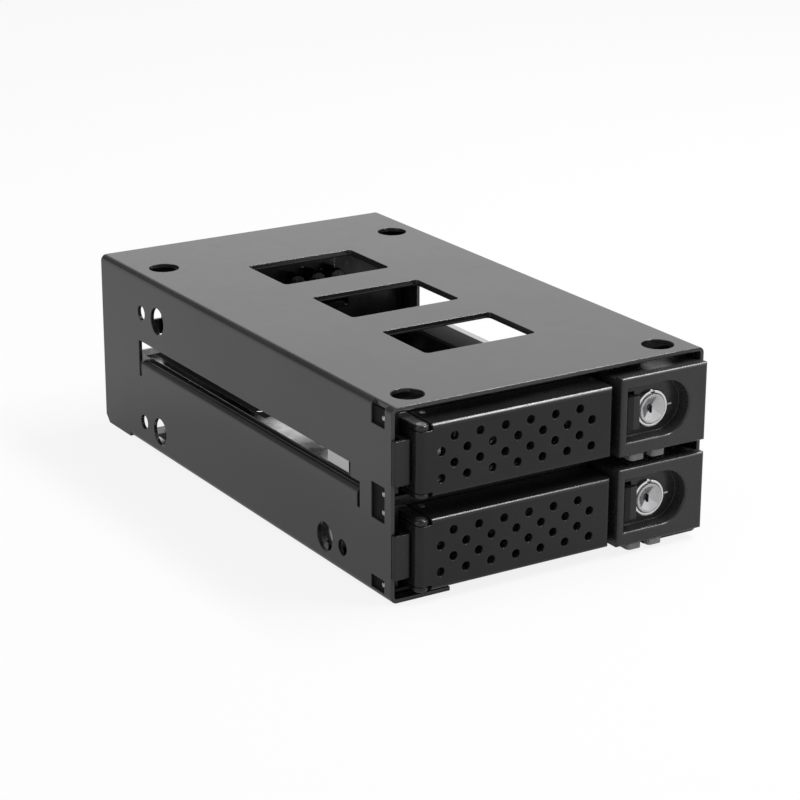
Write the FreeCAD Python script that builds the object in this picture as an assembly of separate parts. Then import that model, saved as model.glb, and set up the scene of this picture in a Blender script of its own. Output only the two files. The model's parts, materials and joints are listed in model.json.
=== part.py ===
import FreeCAD, Part
import math
import os

os.makedirs("parts", exist_ok=True)

# Case: a folded sheet sleeve, open at the front, at the back and along the middle of the bottom
case_width = 110.0
case_depth = 185.5
case_height = 59.0
sheet = 1.2
bend_radius = 2.0
flange_reach = 20.0
flange_rear_gap = 18.5
corner_chamfer = 2.5
roof_room = 1.0

# Long wall slots, low at the front, their tongues bent in as the middle rails; the right one is taller
slot_front = 17.0
slot_rear_gap = 27.0
slot_open = 6.7
slot_step = 5.3
slot_step_open = 2.4
right_slot_rise = 2.6
rail_reach = 4.0
slit_width = 1.6
slit_drop = 3.6

# Wall holes, measured from the front edge and from the bottom
access_radius = 4.55
fixing_radius = 2.5
front_access_y = 37.1
front_fixing_y = 26.9
rear_access_gap = 41.0
rear_fixing_gap = 29.5
low_hole_z = 8.2
high_hole_drop = 12.8

# Windows and round holes in the top
window_width = 39.6
window_length = 25.6
window_pitch = 42.3
window_count = 3
window_start = 37.2
window_corner = 1.5
rim_drop = 0.6
rim_width = 1.2
top_hole_radius = 5.0
top_hole_inset = 10.74
top_hole_front = 8.7
top_hole_rear_gap = 25.6

# Cut-outs at the front edge of each wall, with the guide strip behind them
cut_front = 3.5
cut_length = 7.2
low_cut_height = 4.0
mid_cut_height = 10.9
mid_cut_drop = 0.65
high_cut_height = 7.0
strip_sheet = 0.5
strip_lap = 1.0
pad_recess = 0.9
rivet_radius = 0.8
rivet_recess = 0.5
rivet_setback = 1.8
rivet_gap = 5.6

# Circuit board at the back, its brackets and its connectors
board_rear_gap = 15.9
board_thickness = 1.6
board_left_gap = 14.0
board_right_gap = 3.0
board_low = 4.0
board_drop = 1.6
bracket_low = 10.0
bracket_height = 15.0
bracket_flange = 10.0
bracket_lap = 7.0
board_screw_radius = 1.5
board_screw_head = 2.75
screw_head_height = 1.8
board_screw_gap = 8.0
plug_width = 42.0
plug_height = 5.6
plug_depth = 5.6
plug_offset = 8.0
plug_rise = 3.0
plug_groove = 1.4
plug_groove_depth = 4.2
data_width = 15.0
data_height = 6.0
data_depth = 8.0
data_inset = 24.0
power_width = 22.0
power_height = 8.0
power_depth = 11.0
power_pin_radius = 1.0
shell_wall = 1.1
can_radius = 3.0
can_height = 5.4
can_pitch = 8.0
can_count = 3
can_gap = 2.5

# Trays: clearances, then the folded pan
side_gap = 0.5
run_gap = 0.3
pan_sheet = 1.0
pan_bend = 1.5
pan_front = 4.0
pan_rear_gap = 28.0
pan_wall = 15.1
front_ear = 10.5
floor_strip = 12.0
front_strap = 46.0
rear_strap = 14.0
floor_corner = 4.0
drive_ear = 12.0
drive_hole_z = 6.35
drive_hole_front = 32.9
drive_screw_radius = 1.8
spacer_radius = 4.0
spacer_height = 1.0
floor_hole_inset = 4.2
floor_hole_span = 44.45
floor_hole_front = 12.1

# Front frame with its bars, post, back plate and stop nose
frame_gap = 2.2
back_front = 12.0
back_thickness = 2.0
post_width = 2.4
post_front = 5.0
vent_width = 3.2
vent_pitch = 6.4
vent_count = 10
vent_margin = 4.0
nose_reach = 1.3
nose_left_gap = 0.1
nose_width = 5.8
nose_height = 13.5
nose_low = 6.1
nose_wall_gap = 0.3
nose_round = 0.7

# Lever: a hollow perforated handle on an upright pin at its left end
lever_reach = 4.5
lever_inset = 2.9
lever_latch_gap = 2.3
lever_low = 1.9
lever_drop = 2.3
lever_wall = 1.8
lever_flange = 1.5
lever_depth = 12.5
lever_round = 1.4
hinge_radius = 2.3
pin_radius = 1.0
pin_fit = 0.05
pin_head_radius = 1.5
pin_head_height = 0.5
lug_round = 0.7
hole_radius = 1.4
hole_pitch = 8.67
row_pitch = 4.03
row_count = 4
short_row = 6
hole_lift = 0.375
lever_swing_gap = 0.6
lug_gap = 0.3

# Latch housing with its D-shaped recess
front_reach = 5.3
housing_width = 31.7
housing_right_gap = 0.2
housing_low = 1.5
housing_drop = 0.2
housing_wall = 1.6
housing_round = 0.8
housing_step = 3.6
crest_depth = 3.3
crest_height = 0.8
recess_left_gap = 2.4
recess_straight = 14.3
recess_radius = 8.4
recess_lift = 0.45
recess_round = 0.7
recess_depth = 5.0
recess_wall = 1.2
floor_wall = 1.4
boss_radius = 2.4
boss_lap = 1.0
boss_length = 8.0
right_wall = 2.4

# Latch slider behind the recess, its finger rib and its spring
slider_travel = 1.8
slider_gap = 0.3
slider_depth = 2.0
rib_width = 3.2
rib_height = 10.2
rib_setback = 1.1
rib_left_gap = 0.5
rib_round = 0.5
rib_cap_width = 4.9
rib_cap_depth = 1.9
arm_length = 3.6
arm_height = 4.2
arm_depth = 5.0
arm_drop = 1.2
tooth_height = 6.4
guide_lip = 1.3
spring_radius = 1.2
spring_wire = 0.44
spring_length = 5.4
spring_turns = 5
pocket_radius = 1.75
pocket_wall = 1.0
stop_width = 1.5

# Lock: bezel, turning barrel, cam and nut
lock_offset = 11.9
lock_drop = 0.8
bezel_radius = 5.9
bezel_height = 1.2
head_radius = 4.65
head_gap = 0.08
head_proud = 0.4
head_lift = 0.25
shank_radius = 4.0
shank_fit = 0.08
lock_boss_wall = 1.2
lock_boss_depth = 5.4
tail_radius = 2.0
cam_gap = 0.4
cam_thickness = 1.4
cam_length = 8.4
cam_width = 5.0
nut_radius = 3.2
nut_height = 1.4
tail_past_nut = 0.3
key_width = 1.6
key_depth = 1.2
cone_depth = 1.0
cone_inner = 2.0

# Light guides under the housing and the small board behind them
guide_width = 5.2
guide_pitch = 7.6
guide_inset = 4.6
guide_setback = 0.7
guide_drop = 2.0
guide_length = 4.1
guide_rod = 1.3
guide_round = 1.2
stem_length = 2.0
led_board_margin = 1.5
led_board_gap = 0.3
led_board_thickness = 1.2
led_board_y = 3.6

# Small screws of the trays
pan_screw_radius = 1.25
pan_screw_head = 2.3
pan_screw_length = 3.2
pan_screw_y = 8.0
pan_screw_low = 5.0
pan_screw_gap = 6.0
housing_screw_radius = 1.3
housing_screw_head = 2.5
housing_screw_grip = 5.0

# Places that follow from the sizes above
left_wall = -case_width / 2
inner_wall = case_width / 2 - sheet
bay_pitch = (case_height - sheet - roof_room) / 2
rail_top = sheet + bay_pitch
slot_back = case_depth - slot_rear_gap
slot_low = rail_top - bend_radius
slot_high = rail_top + slot_open
flange_back = case_depth - flange_rear_gap
cut_back = cut_front + cut_length
mid_cut_low = rail_top - mid_cut_drop - mid_cut_height / 2
tray_half = inner_wall - strip_sheet - side_gap
pan_inner = tray_half - pan_sheet
pan_back = case_depth - pan_rear_gap
board_front = case_depth - board_rear_gap - board_thickness
board_back = board_front + board_thickness
board_left = case_width / 2 - board_left_gap
board_right = case_width / 2 - board_right_gap
board_height = case_height - board_low - board_drop
frame_height = bay_pitch - frame_gap
housing_right = tray_half - housing_right_gap
housing_left = housing_right - housing_width
housing_height = frame_height - housing_low - housing_drop
lever_left = pan_inner - lever_inset
lever_right = housing_left - lever_latch_gap
lever_height = frame_height - lever_low - lever_drop
lever_back = lever_depth - lever_reach
pin_x = -lever_left + hinge_radius
pin_y = hinge_radius - lever_reach
bar_front = lever_back + lever_swing_gap
bar_right = lever_right + lever_swing_gap
recess_left = housing_left + recess_left_gap
recess_floor = recess_depth - front_reach
recess_rise = housing_height / 2 + recess_lift
cavity_left = housing_left + housing_wall
cavity_right = pan_inner - right_wall
floor_back = recess_floor + floor_wall
slider_front = floor_back + slider_gap
slider_back = slider_front + slider_depth
lock_x = recess_left + lock_offset
boss_set = boss_radius - boss_lap
boss_x = cavity_right - boss_set
back_rear = back_front + back_thickness
y_shift = (front_reach - case_depth) / 2


def vec(x, y, z):
    return FreeCAD.Vector(x, y, z)


def box(x0, x1, y0, y1, z0, z1):
    return Part.makeBox(x1 - x0, y1 - y0, z1 - z0, vec(x0, y0, z0))


def rod_x(y, z, radius, x0, x1):
    return Part.makeCylinder(radius, x1 - x0, vec(x0, y, z), vec(1, 0, 0))


def rod_y(x, z, radius, y0, y1):
    return Part.makeCylinder(radius, y1 - y0, vec(x, y0, z), vec(0, 1, 0))


def rod_z(x, y, radius, z0, z1):
    return Part.makeCylinder(radius, z1 - z0, vec(x, y, z0), vec(0, 0, 1))


def mirrored(shape):
    return shape.mirror(vec(0, 0, 0), vec(1, 0, 0))


def both_sides(shape):
    return [shape, mirrored(shape)]


def joined(shapes):
    return shapes[0].multiFuse(shapes[1:]).removeSplitter()


def rounded(shape, radius, pick):
    edges = [edge for edge in shape.Edges if pick(edge)]
    return shape.makeFillet(radius, edges)


def runs_along(edge, axis):
    ends = [vertex.Point for vertex in edge.Vertexes]
    if len(ends) < 2:
        return False
    step = ends[1] - ends[0]
    return abs(abs(step.dot(axis)) - step.Length) < 1e-6


def at_height(edge, z):
    return abs(edge.CenterOfMass.z - z) < 1e-6


def at_depth(edge, y):
    return abs(edge.CenterOfMass.y - y) < 1e-6


def save(name, shape):
    placed = shape.copy()
    placed.translate(vec(0, y_shift, 0))
    placed.exportStep("parts/" + name + ".step")


def save_group(name, shapes):
    save(name, Part.makeCompound(shapes))


# A channel of folded sheet along Y, with its bends rounded inside and out
def folded_channel(half, y0, y1, low, high, thickness, radius, open_top):
    outer = box(-half, half, y0, y1, low, high)
    bend_z = low if open_top else high
    inner_low = low + thickness if open_top else low - 1
    inner_high = high + 1 if open_top else high - thickness
    inner = box(thickness - half, half - thickness, y0 - 1, y1 + 1, inner_low, inner_high)
    floor_z = inner_low if open_top else inner_high
    along = vec(0, 1, 0)
    outer = rounded(outer, radius, lambda e: runs_along(e, along) and at_height(e, bend_z))
    inner = rounded(inner, radius - thickness, lambda e: runs_along(e, along) and at_height(e, floor_z))
    return outer.cut(inner)


# A strip that leaves the left wall in a quarter bend and runs inward, with its outer face at z = 0
def folded_strip(reach, y0, y1):
    centre = vec(left_wall + bend_radius, y0, bend_radius)

    def on_bend(radius, degrees):
        angle = math.radians(degrees)
        return centre + vec(radius * math.cos(angle), 0, radius * math.sin(angle))

    inner_radius = bend_radius - sheet
    tip = left_wall + max(reach, bend_radius + sheet / 2)
    outer_arc = Part.Arc(on_bend(bend_radius, 180), on_bend(bend_radius, 225), on_bend(bend_radius, 270))
    inner_arc = Part.Arc(on_bend(inner_radius, 270), on_bend(inner_radius, 225), on_bend(inner_radius, 180))
    edges = [
        outer_arc.toShape(),
        Part.makeLine(on_bend(bend_radius, 270), vec(tip, y0, 0)),
        Part.makeLine(vec(tip, y0, 0), vec(tip, y0, sheet)),
        Part.makeLine(vec(tip, y0, sheet), on_bend(inner_radius, 270)),
        inner_arc.toShape(),
        Part.makeLine(on_bend(inner_radius, 180), on_bend(bend_radius, 180)),
    ]
    return Part.Face(Part.Wire(edges)).extrude(vec(0, y1 - y0, 0))


def wall_cutouts():
    return [
        (bend_radius, bend_radius + low_cut_height),
        (mid_cut_low, mid_cut_low + mid_cut_height),
        (case_height - high_cut_height, case_height + 1),
    ]


# The middle rail: the slot's own tongue, bent inward at the slot's lower edge
def middle_rail():
    strip = folded_strip(rail_reach, slot_front + slit_width, slot_back - slit_width)
    strip = strip.mirror(vec(0, 0, 0), vec(0, 0, 1))
    strip.translate(vec(0, 0, rail_top))
    return strip


def left_wall_cuts():
    outside = left_wall - 1
    inside = left_wall + sheet + 1
    high_hole_z = case_height - high_hole_drop
    rear_access_y = case_depth - rear_access_gap
    rear_fixing_y = case_depth - rear_fixing_gap
    step_end = slot_front + slot_step
    cuts = [box(outside, inside, step_end, slot_back, slot_low, slot_high)]
    cuts.append(box(outside, inside, slot_front, step_end, slot_low, rail_top + slot_step_open))
    for start in (slot_front, slot_back - slit_width):
        cuts.append(box(outside, inside, start, start + slit_width, slot_low - slit_drop, slot_low))
    for y, z in ((front_access_y, low_hole_z), (rear_access_y, low_hole_z), (rear_access_y, high_hole_z)):
        cuts.append(rod_x(y, z, access_radius, outside, inside))
    for y, z in ((front_fixing_y, low_hole_z), (rear_fixing_y, low_hole_z), (rear_fixing_y, high_hole_z)):
        cuts.append(rod_x(y, z, fixing_radius, outside, inside))
    for low, high in wall_cutouts():
        cuts.append(box(outside, left_wall + sheet, cut_front, cut_back, low, high))
    corner = [(case_depth - corner_chamfer, 0), (case_depth, 0), (case_depth, corner_chamfer)]
    points = [vec(outside, y, z) for y, z in corner]
    cuts.append(Part.Face(Part.makePolygon(points + points[:1])).extrude(vec(inside - outside, 0, 0)))
    return cuts


def window_boxes(margin, low, high):
    boxes = []
    for index in range(window_count):
        start = window_start + index * window_pitch
        half = window_width / 2 + margin
        body = box(-half, half, start - margin, start + window_length + margin, low, high)
        upright = vec(0, 0, 1)
        boxes.append(rounded(body, window_corner + margin, lambda e: runs_along(e, upright)))
    return boxes


def case_shell():
    shell = folded_channel(case_width / 2, 0, case_depth, 0, case_height, sheet, bend_radius, False)
    shell = shell.cut(box(left_wall - 1, 1 - left_wall, -1, flange_back, -1, bend_radius))
    under_top = case_height - sheet
    adds = both_sides(folded_strip(flange_reach, 0, flange_back))
    adds += window_boxes(rim_width, under_top - rim_drop, under_top)
    shell = joined([shell] + adds)
    cuts = []
    for cut in left_wall_cuts():
        cuts += both_sides(cut)
    right_top = slot_high + right_slot_rise
    right_front = slot_front + slot_step
    cuts.append(box(inner_wall - 1, case_width / 2 + 1, right_front, slot_back, slot_high, right_top))
    cuts += window_boxes(0, under_top - rim_drop - 1, case_height + 1)
    for y in (top_hole_front, case_depth - top_hole_rear_gap):
        hole = rod_z(left_wall + top_hole_inset, y, top_hole_radius, under_top - 1, case_height + 1)
        cuts += both_sides(hole)
    shell = shell.cut(Part.makeCompound(cuts))
    return joined([shell] + both_sides(middle_rail()))


def rivet_places():
    y = cut_front + rivet_setback
    mid = mid_cut_low + mid_cut_height / 2
    top = case_height - (high_cut_height + bend_radius) / 2
    low = bend_radius + low_cut_height / 2
    return [(y, low), (y, mid - rivet_gap / 2), (y, mid + rivet_gap / 2), (y, top)]


# The strip lies on the wall's inner face and its pads fill the cut-outs
def guide_strip():
    face = left_wall + sheet
    top = case_height - bend_radius
    pieces = [box(face, face + strip_sheet, cut_front - strip_lap, cut_back + strip_lap, bend_radius, top)]
    for low, high in wall_cutouts():
        pieces.append(box(left_wall + pad_recess, face, cut_front, cut_back, low, min(high, top)))
    strip = joined(pieces)
    holes = [rod_x(y, z, rivet_radius, left_wall, face + strip_sheet + 1) for y, z in rivet_places()]
    return strip.cut(Part.makeCompound(holes))


def strip_rivets():
    rivets = []
    tip = left_wall + sheet + strip_sheet
    for y, z in rivet_places():
        body = rod_x(y, z, rivet_radius, left_wall + rivet_recess, tip)
        rivets += both_sides(body)
    return rivets


def board_screw_heights():
    middle = bracket_low + bracket_height / 2
    return middle - board_screw_gap / 2, middle + board_screw_gap / 2


def board_screw_places():
    sides = (bracket_lap / 2 - board_left, board_right - bracket_lap / 2)
    return [(x, z) for x in sides for z in board_screw_heights()]


def backplane_board():
    board = box(-board_left, board_right, board_front, board_back, board_low, board_low + board_height)
    holes = []
    for x, z in board_screw_places():
        holes.append(rod_y(x, z, board_screw_radius, board_front - 1, board_back + 1))
    return board.cut(Part.makeCompound(holes))


# An angle of sheet welded to the left wall, with its tongue behind a board of the given reach
def board_bracket(reach):
    high = bracket_low + bracket_height
    tongue_end = bracket_lap - reach
    wall = -inner_wall
    plate = box(wall, tongue_end, board_back, board_back + sheet, bracket_low, high)
    flange_end = board_back + bracket_flange
    flange = box(wall, wall + sheet, board_back, flange_end, bracket_low, high)
    bracket = joined([plate, flange])
    x = bracket_lap / 2 - reach
    holes = []
    for z in board_screw_heights():
        holes.append(rod_y(x, z, board_screw_radius, board_back - 1, board_back + sheet + 1))
    return bracket.cut(Part.makeCompound(holes))


def board_screws():
    screws = []
    for x, z in board_screw_places():
        shank = rod_y(x, z, board_screw_radius, board_front, board_back + sheet)
        head = rod_y(x, z, board_screw_head, board_front - screw_head_height, board_front)
        screws.append(joined([shank, head]))
    return screws


def tray_bottom(bay):
    return sheet + run_gap + bay * bay_pitch


def connector_low(bay):
    return tray_bottom(bay) + pan_sheet + plug_rise


# Socket for one drive: a block with a keyed groove that faces the front
def drive_connector(bay):
    low = connector_low(bay)
    left = plug_offset - plug_width / 2
    right = plug_offset + plug_width / 2
    front = board_front - plug_depth
    body = box(left, right, front, board_front, low, low + plug_height)
    middle = low + plug_height / 2
    key = left + plug_width * 0.4
    margin = shell_wall
    grooves = []
    groove_end = front + plug_groove_depth
    for start, end in ((left + margin, key), (key + margin, right - margin)):
        low_z = middle - plug_groove / 2
        grooves.append(box(start, end, front - 1, groove_end, low_z, low_z + plug_groove))
        grooves.append(box(end - plug_groove, end, front - 1, groove_end, low + margin, middle))
    return body.cut(Part.makeCompound(grooves))


# Shrouded socket behind the board, open to the back, with an inner tongue
def shrouded_socket(x, z, width, height, depth):
    body = box(x - width / 2, x + width / 2, board_back, board_back + depth, z, z + height)
    back = board_back + depth
    hollow = box(
        x - width / 2 + shell_wall,
        x + width / 2 - shell_wall,
        board_back + shell_wall,
        back + 1,
        z + shell_wall,
        z + height - shell_wall,
    )
    return body.cut(hollow)


def data_connectors():
    sockets = []
    for side in (-1, 1):
        z = rail_top + pan_sheet + plug_rise
        socket = shrouded_socket(side * data_inset, z, data_width, data_height, data_depth)
        middle = z + data_height / 2
        half = data_width / 2 - 2 * shell_wall
        x = side * data_inset
        end = board_back + data_depth - shell_wall
        tongue = box(x - half, x + half, board_back, end, middle - shell_wall / 2, middle + shell_wall / 2)
        sockets.append(joined([socket, tongue]))
    return sockets


def power_connector():
    z = bracket_low
    body = shrouded_socket(0, z, power_width, power_height, power_depth)
    pins = []
    for index in range(4):
        x = (index - 1.5) * (power_width - 2 * shell_wall) / 4
        pin_end = board_back + power_depth - shell_wall
        pins.append(rod_y(x, z + power_height / 2, power_pin_radius, board_back, pin_end))
    return joined([body] + pins)


def board_capacitors():
    cans = []
    z = connector_low(1) + plug_height + can_gap + can_radius
    for index in range(can_count):
        x = plug_offset + index * can_pitch
        cans.append(rod_y(x, z, can_radius, board_front - can_height, board_front))
    return cans


def pan_screw_places(base):
    return [base + pan_screw_low, base + pan_screw_low + pan_screw_gap]


# A flat-headed screw along +X with its head's face at x
def flat_screw(x, y, z):
    cone = Part.makeCone(pan_screw_head, pan_screw_radius, pan_sheet, vec(x, y, z), vec(1, 0, 0))
    shank = rod_x(y, z, pan_screw_radius, x + pan_sheet, x + pan_screw_length)
    return joined([cone, shank])


# Screw holes under the drive, on the floor beside its opening
def floor_hole_places():
    front = drive_hole_front + floor_hole_front
    return [(pan_inner - floor_hole_inset, y) for y in (front, front + floor_hole_span)]


# What is cut from the side walls: all above the floor, but for the front ears and the drive ears
def ear_cuts(base):
    reach = tray_half + 1
    floor_top = base + pan_sheet
    high = base + pan_wall
    ear_top = floor_top + drive_hole_z + spacer_radius
    ear_start = drive_hole_front - drive_ear / 2
    ear_end = ear_start + drive_ear
    return [
        box(-reach, reach, pan_front + front_ear, ear_start, floor_top, high + 1),
        box(-reach, reach, ear_start - 1, ear_end + 1, ear_top, high + 1),
        box(-reach, reach, ear_end, pan_back + 1, floor_top, high + 1),
    ]


# Folded tray with an open floor, drive ears with spacers and countersunk front ears
def tray_pan(base):
    pan = folded_channel(tray_half, pan_front, pan_back, base, base + pan_wall, pan_sheet, pan_bend, True)
    upright = vec(0, 0, 1)
    half = pan_inner - floor_strip
    hole_front = pan_front + front_strap
    opening = box(-half, half, hole_front, pan_back - rear_strap, base - 1, base + pan_sheet + 1)
    opening = rounded(opening, floor_corner, lambda e: runs_along(e, upright))
    pan = pan.cut(Part.makeCompound([opening] + ear_cuts(base)))
    z = base + pan_sheet + drive_hole_z
    face = -tray_half
    spacer_end = spacer_height - pan_inner
    spacers = both_sides(rod_x(drive_hole_front, z, spacer_radius, -pan_inner - pan_sheet / 2, spacer_end))
    cuts = both_sides(rod_x(drive_hole_front, z, drive_screw_radius, face - 1, spacer_end + 1))
    for x, y in floor_hole_places():
        cuts += both_sides(rod_z(x, y, drive_screw_radius, base - 1, base + pan_sheet + 1))
    for height in pan_screw_places(base):
        cuts += both_sides(flat_screw(face, pan_screw_y, height))
    return joined([pan] + spacers).cut(Part.makeCompound(cuts))


def pan_screws(base):
    screws = []
    for height in pan_screw_places(base):
        screws += both_sides(flat_screw(-tray_half, pan_screw_y, height))
    return screws


def housing_screw_places(base):
    low = base + housing_low + housing_wall + boss_set
    high = base + housing_low + housing_height - housing_wall - boss_set
    return [(boss_x, low), (boss_x, high)]


# The stop nose stands in front of the wall's edge and meets it when the tray is home
def stop_nose(base):
    left = left_wall + nose_left_gap
    low = base + nose_low
    nose = box(left, left + nose_width, -nose_reach, -nose_wall_gap, low, low + nose_height)
    upright = vec(0, 0, 1)
    return rounded(nose, nose_round, lambda e: runs_along(e, upright) and at_depth(e, -nose_reach))


# The lever's own lower and upper faces, which the hinge lugs share
def lever_span(base):
    low = base + lever_low
    return low, low + lever_height


# A flat lug that carries the pin, with its outer edge rounded like the lever's
def hinge_lug(low, high, outer):
    left = pin_x - hinge_radius
    eye = rod_z(pin_x, pin_y, hinge_radius, low, high)
    arm = box(left, pin_x + hinge_radius, pin_y, back_front, low, high)
    lug = joined([eye, arm])
    return rounded(lug, lug_round, lambda e: at_height(e, outer) and e.CenterOfMass.x < pin_x)


def front_frame(base):
    top = base + frame_height
    low, high = lever_span(base)
    left = -pan_inner
    deck = base + pan_sheet
    post_right = left + post_width
    nose_base = base + nose_low
    pieces = [
        box(left, pan_inner, back_front, back_rear, deck, top),
        box(left, bar_right, bar_front, back_front, deck, low + lever_flange),
        box(left, bar_right, bar_front, back_front, high - lever_flange, top),
        box(left, post_right, post_front, back_front, deck, top),
        box(left, post_right, -nose_wall_gap, post_front, nose_base, nose_base + nose_height),
        stop_nose(base),
        hinge_lug(low, low + lever_flange, low),
        hinge_lug(high - lever_flange, high, high),
    ]
    relief = pan_bend - pan_sheet
    cuts = both_sides(box(left, left + relief, post_front - 1, back_rear + 1, deck, deck + relief))
    cuts.append(rod_z(pin_x, pin_y, pin_radius, low - 1, high + 1))
    cuts.append(rod_z(pin_x, pin_y, pin_head_radius, high - pin_head_height, high + 1))
    vent_left = (bar_right + post_right - (vent_count - 1) * vent_pitch - vent_width) / 2
    vent_low = low + lever_flange + vent_margin
    vent_high = high - lever_flange - vent_margin
    for index in range(vent_count):
        x = vent_left + index * vent_pitch
        cuts.append(box(x, x + vent_width, back_front - 1, back_rear + 1, vent_low, vent_high))
    for x, z in housing_screw_places(base):
        cuts.append(rod_y(x, z, housing_screw_radius, back_front - 1, back_rear + 1))
    for height in pan_screw_places(base):
        cuts.append(flat_screw(-tray_half, pan_screw_y, height))
    return joined(pieces).cut(Part.makeCompound(cuts))


def hinge_pin(base):
    low, high = lever_span(base)
    neck = high - pin_head_height
    shaft = rod_z(pin_x, pin_y, pin_radius, low + lug_gap, neck)
    return joined([shaft, rod_z(pin_x, pin_y, pin_head_radius, neck, high)])


# Rows of round holes, every second row shifted by half a pitch and one hole longer
def lever_holes(low):
    middle_x = (lever_right - lever_left) / 2
    middle_z = low + lever_height / 2 + hole_lift
    front = -lever_reach - 1
    holes = []
    for row in range(row_count):
        z = middle_z + (row - (row_count - 1) / 2) * row_pitch
        count = short_row + 1 - row % 2
        for column in range(count):
            x = middle_x + (column - (count - 1) / 2) * hole_pitch
            holes.append(rod_y(x, z, hole_radius, front, lever_wall - lever_reach + 1))
    return holes


# Hollow handle, open at the back, whose left end turns on the pin between the two lugs
def lever(base):
    low, high = lever_span(base)
    front = -lever_reach
    left = -lever_left
    body = box(left, lever_right, front, lever_back, low, high)
    upright = vec(0, 0, 1)
    corner = [e for e in body.Edges if runs_along(e, upright) and at_depth(e, front)]
    body = body.makeFillet(hinge_radius, [min(corner, key=lambda e: e.CenterOfMass.x)])
    pillow = box(left, lever_right, front, lever_back, low, high)
    body = body.common(rounded(pillow, lever_round, lambda e: at_depth(e, front)))
    lug_right = pin_x + hinge_radius + lug_gap
    lug_height = lever_flange + lug_gap
    floor_z = low + lever_flange
    roof_z = high - lever_flange
    inner_right = lever_right - lever_wall
    inside = left + lever_wall
    barrel_back = pin_y + hinge_radius + lever_wall / 2
    cuts = [
        box(lug_right, inner_right, front + lever_wall, lever_back + 1, floor_z, roof_z),
        box(inside, lug_right + 1, barrel_back, lever_back + 1, floor_z, roof_z),
        box(left - 1, lug_right, front - 1, lever_back + 1, low - 1, low + lug_height),
        box(left - 1, lug_right, front - 1, lever_back + 1, high - lug_height, high + 1),
        rod_z(pin_x, pin_y, pin_radius + pin_fit, low - 1, high + 1),
    ]
    return body.cut(Part.makeCompound(cuts + lever_holes(low)))


# D-shaped prism of the finger recess, grown outward by a margin
def recess_prism(base, margin, y0, y1):
    middle = base + housing_low + recess_rise
    radius = recess_radius + margin
    left = recess_left - margin
    arc_x = recess_left + recess_straight
    edges = [
        Part.makeLine(vec(arc_x, y0, middle + radius), vec(left, y0, middle + radius)),
        Part.makeLine(vec(left, y0, middle + radius), vec(left, y0, middle - radius)),
        Part.makeLine(vec(left, y0, middle - radius), vec(arc_x, y0, middle - radius)),
        Part.Arc(
            vec(arc_x, y0, middle - radius), vec(arc_x + radius, y0, middle), vec(arc_x, y0, middle + radius)
        ).toShape(),
    ]
    return Part.Face(Part.Wire(edges)).extrude(vec(0, y1 - y0, 0))


# True for the front edges of the recess's own outline
def inside_recess(edge, base):
    middle = base + housing_low + recess_rise
    right = recess_left + recess_straight + recess_radius
    centre = edge.CenterOfMass
    return recess_left - 1e-6 < centre.x < right and abs(centre.z - middle) < recess_radius + 1e-6


def lock_height(base):
    return base + housing_low + recess_rise - lock_drop


def rib_box(base, before, after, gap, y0, y1):
    left = recess_left + rib_left_gap
    middle = base + housing_low + recess_rise
    half = rib_height / 2 + gap
    return box(left - before, left + rib_width + after, y0, y1, middle - half, middle + half)


def arm_top(base):
    return base + housing_low + housing_height - housing_wall - arm_drop


def slider_low(base):
    return base + housing_low + recess_rise - rib_height / 2 - guide_lip


def spring_axis(base):
    return slider_front + arm_depth / 2, arm_top(base) - arm_height / 2


def slider_left():
    return cavity_left + slider_gap


def spring_start():
    return slider_left() + pocket_wall + slider_travel + slider_gap


# Slider plate with its finger rib, latch tooth and the arm that holds the spring's end
def latch_slider(base):
    left = slider_left()
    right = recess_left + rib_left_gap + rib_width + slider_gap
    tooth_mid = base + housing_low + recess_rise
    top = arm_top(base)
    along = vec(0, 0, 1)
    rib_front = rib_setback - front_reach
    cap = rib_box(base, 0, rib_cap_width - rib_width, 0, rib_front, rib_front + rib_cap_depth)
    cap = rounded(cap, rib_round, lambda e: runs_along(e, along) and at_depth(e, rib_front))
    half = tooth_height / 2
    pieces = [
        box(left, right, slider_front, slider_back, slider_low(base), top),
        box(left, left + arm_length, slider_front, slider_front + arm_depth, top - arm_height, top),
        box(housing_left + slider_gap, right, slider_front, slider_back, tooth_mid - half, tooth_mid + half),
        rib_box(base, 0, 0, 0, rib_front + rib_cap_depth / 2, slider_back),
        cap,
    ]
    y, z = spring_axis(base)
    pocket = rod_x(y, z, pocket_radius, left + pocket_wall, right + 1)
    return joined(pieces).cut(pocket)


def latch_spring(base):
    y, z = spring_axis(base)
    pitch = (spring_length - spring_wire) / spring_turns
    helix = Part.makeHelix(pitch, spring_length - spring_wire, spring_radius)
    half = spring_wire / 2
    corners = [vec(spring_radius + a * half, 0, b * half) for a, b in ((-1, -1), (1, -1), (1, 1), (-1, 1))]
    profile = Part.makePolygon(corners + corners[:1])
    coil = Part.Wire(helix).makePipeShell([profile], True, True)
    coil.translate(vec(0, 0, half))
    coil.rotate(vec(0, 0, 0), vec(0, 1, 0), 90)
    coil.translate(vec(spring_start(), y, z))
    return coil


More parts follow.
